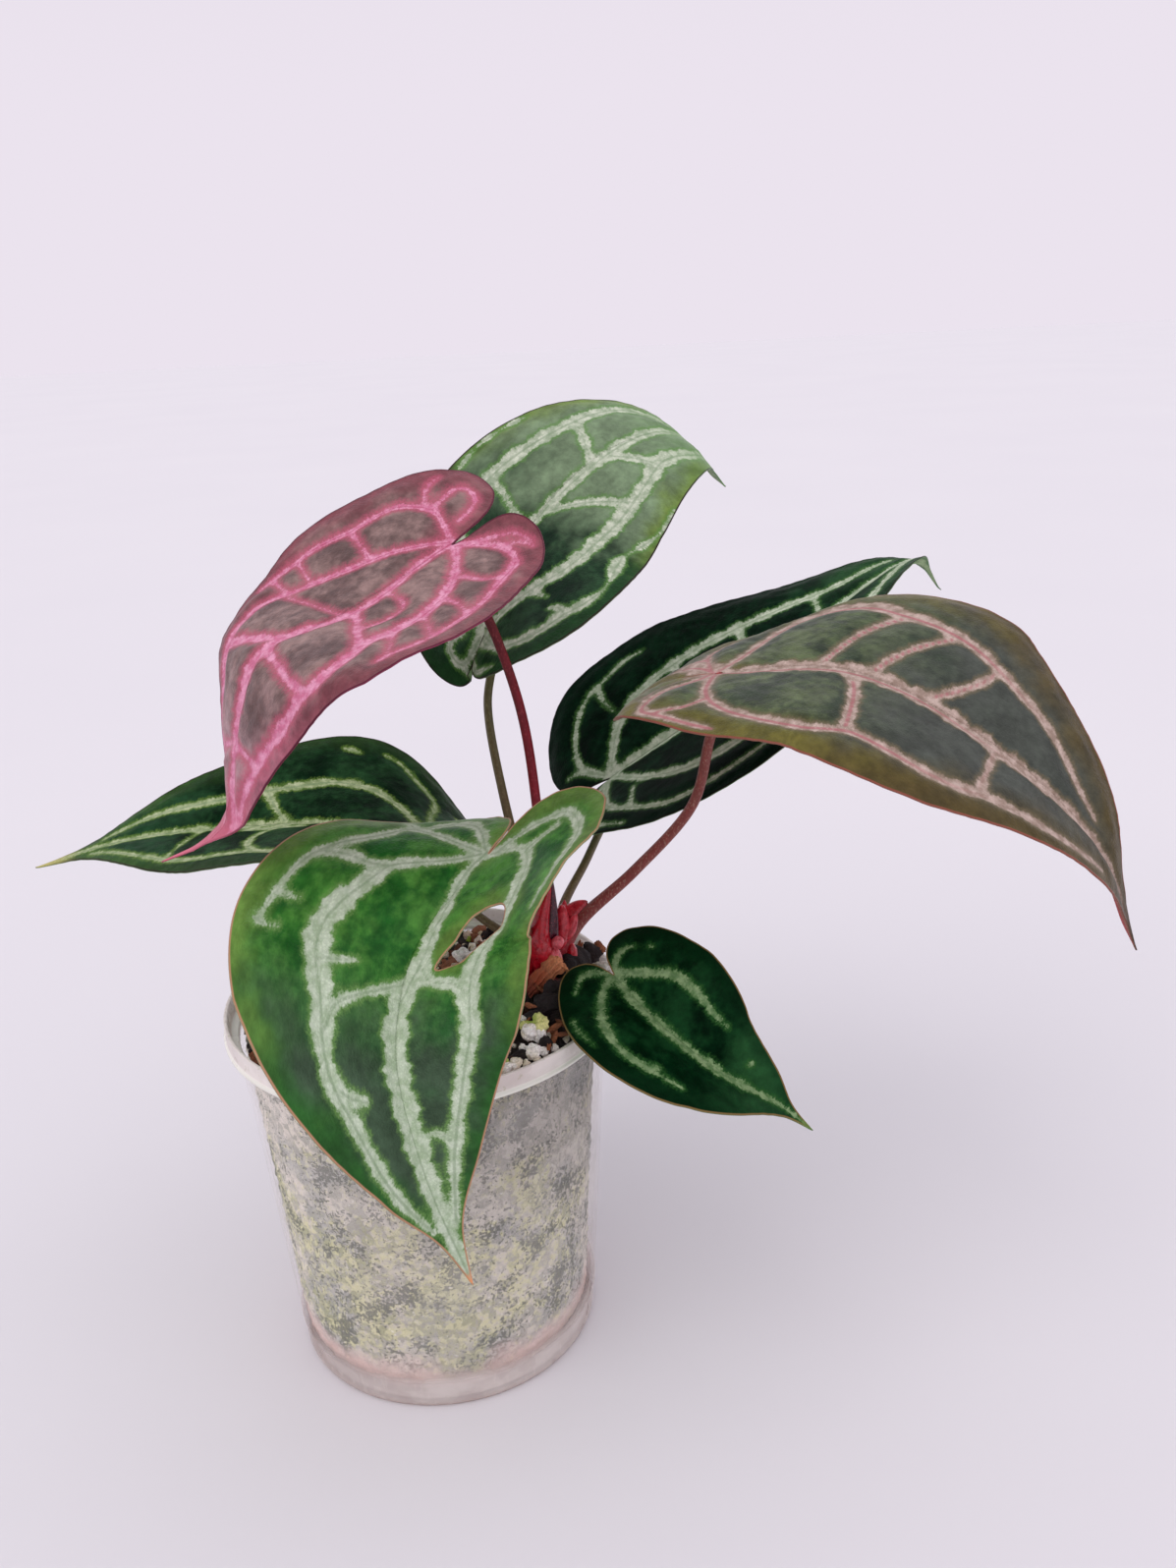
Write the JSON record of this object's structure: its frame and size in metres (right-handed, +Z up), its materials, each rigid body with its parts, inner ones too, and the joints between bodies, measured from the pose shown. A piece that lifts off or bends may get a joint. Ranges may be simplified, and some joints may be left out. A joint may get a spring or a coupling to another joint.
{
  "type": "potted michelle anthurium",
  "caption": "Young velvet-leaved anthurium with heart-shaped, silver- and pink-veined leaves on slender petioles, in a clear tapered plastic pot of airy mix.",
  "frame": {"origin": "centre of the pot's flat underside", "axes": "+Z up along the pot's axis, +X towards the bronze leaf on the right, -Y towards the large leaf that hangs over the front of the rim"},
  "size_m": [0.2444, 0.155, 0.2095],
  "materials": {
    "pot": "thin clear plastic, milky with algae on the inside",
    "potting_mix": "airy mix of perlite, bark and moss",
    "crown": "fleshy, waxy, crimson",
    "dried_sheath": "dry, papery, brown",
    "blade_back": "velvety mid green with silver veins",
    "blade_pink": "young satin leaf, grey-mauve with hot pink veins",
    "blade_dark": "velvety dark green with silver veins",
    "blade_bronze": "satin bronze olive with pinkish silver veins",
    "blade_front": "satin bright green with broad silver veins",
    "petiole_green_brown": "smooth greenish brown stalk",
    "petiole_crimson": "smooth crimson stalk",
    "petiole_red_brown": "speckled red-brown stalk"
  },
  "bodies": {
    "root": {"pot": "pot", "potting_mix": "potting_mix", "crown": "crown", "dried_sheath": "dried_sheath", "blade_back": "blade_back", "petiole_back": "petiole_green_brown", "blade_pink": "blade_pink", "petiole_pink": "petiole_crimson", "blade_right_back": "blade_dark", "petiole_right_back": "petiole_green_brown", "blade_bronze": "blade_bronze", "petiole_bronze": "petiole_red_brown", "blade_left": "blade_dark", "petiole_left": "petiole_green_brown", "blade_front": "blade_front", "petiole_front": "petiole_red_brown", "blade_small": "blade_dark", "petiole_small": "petiole_green_brown"}
  },
  "joints": []
}
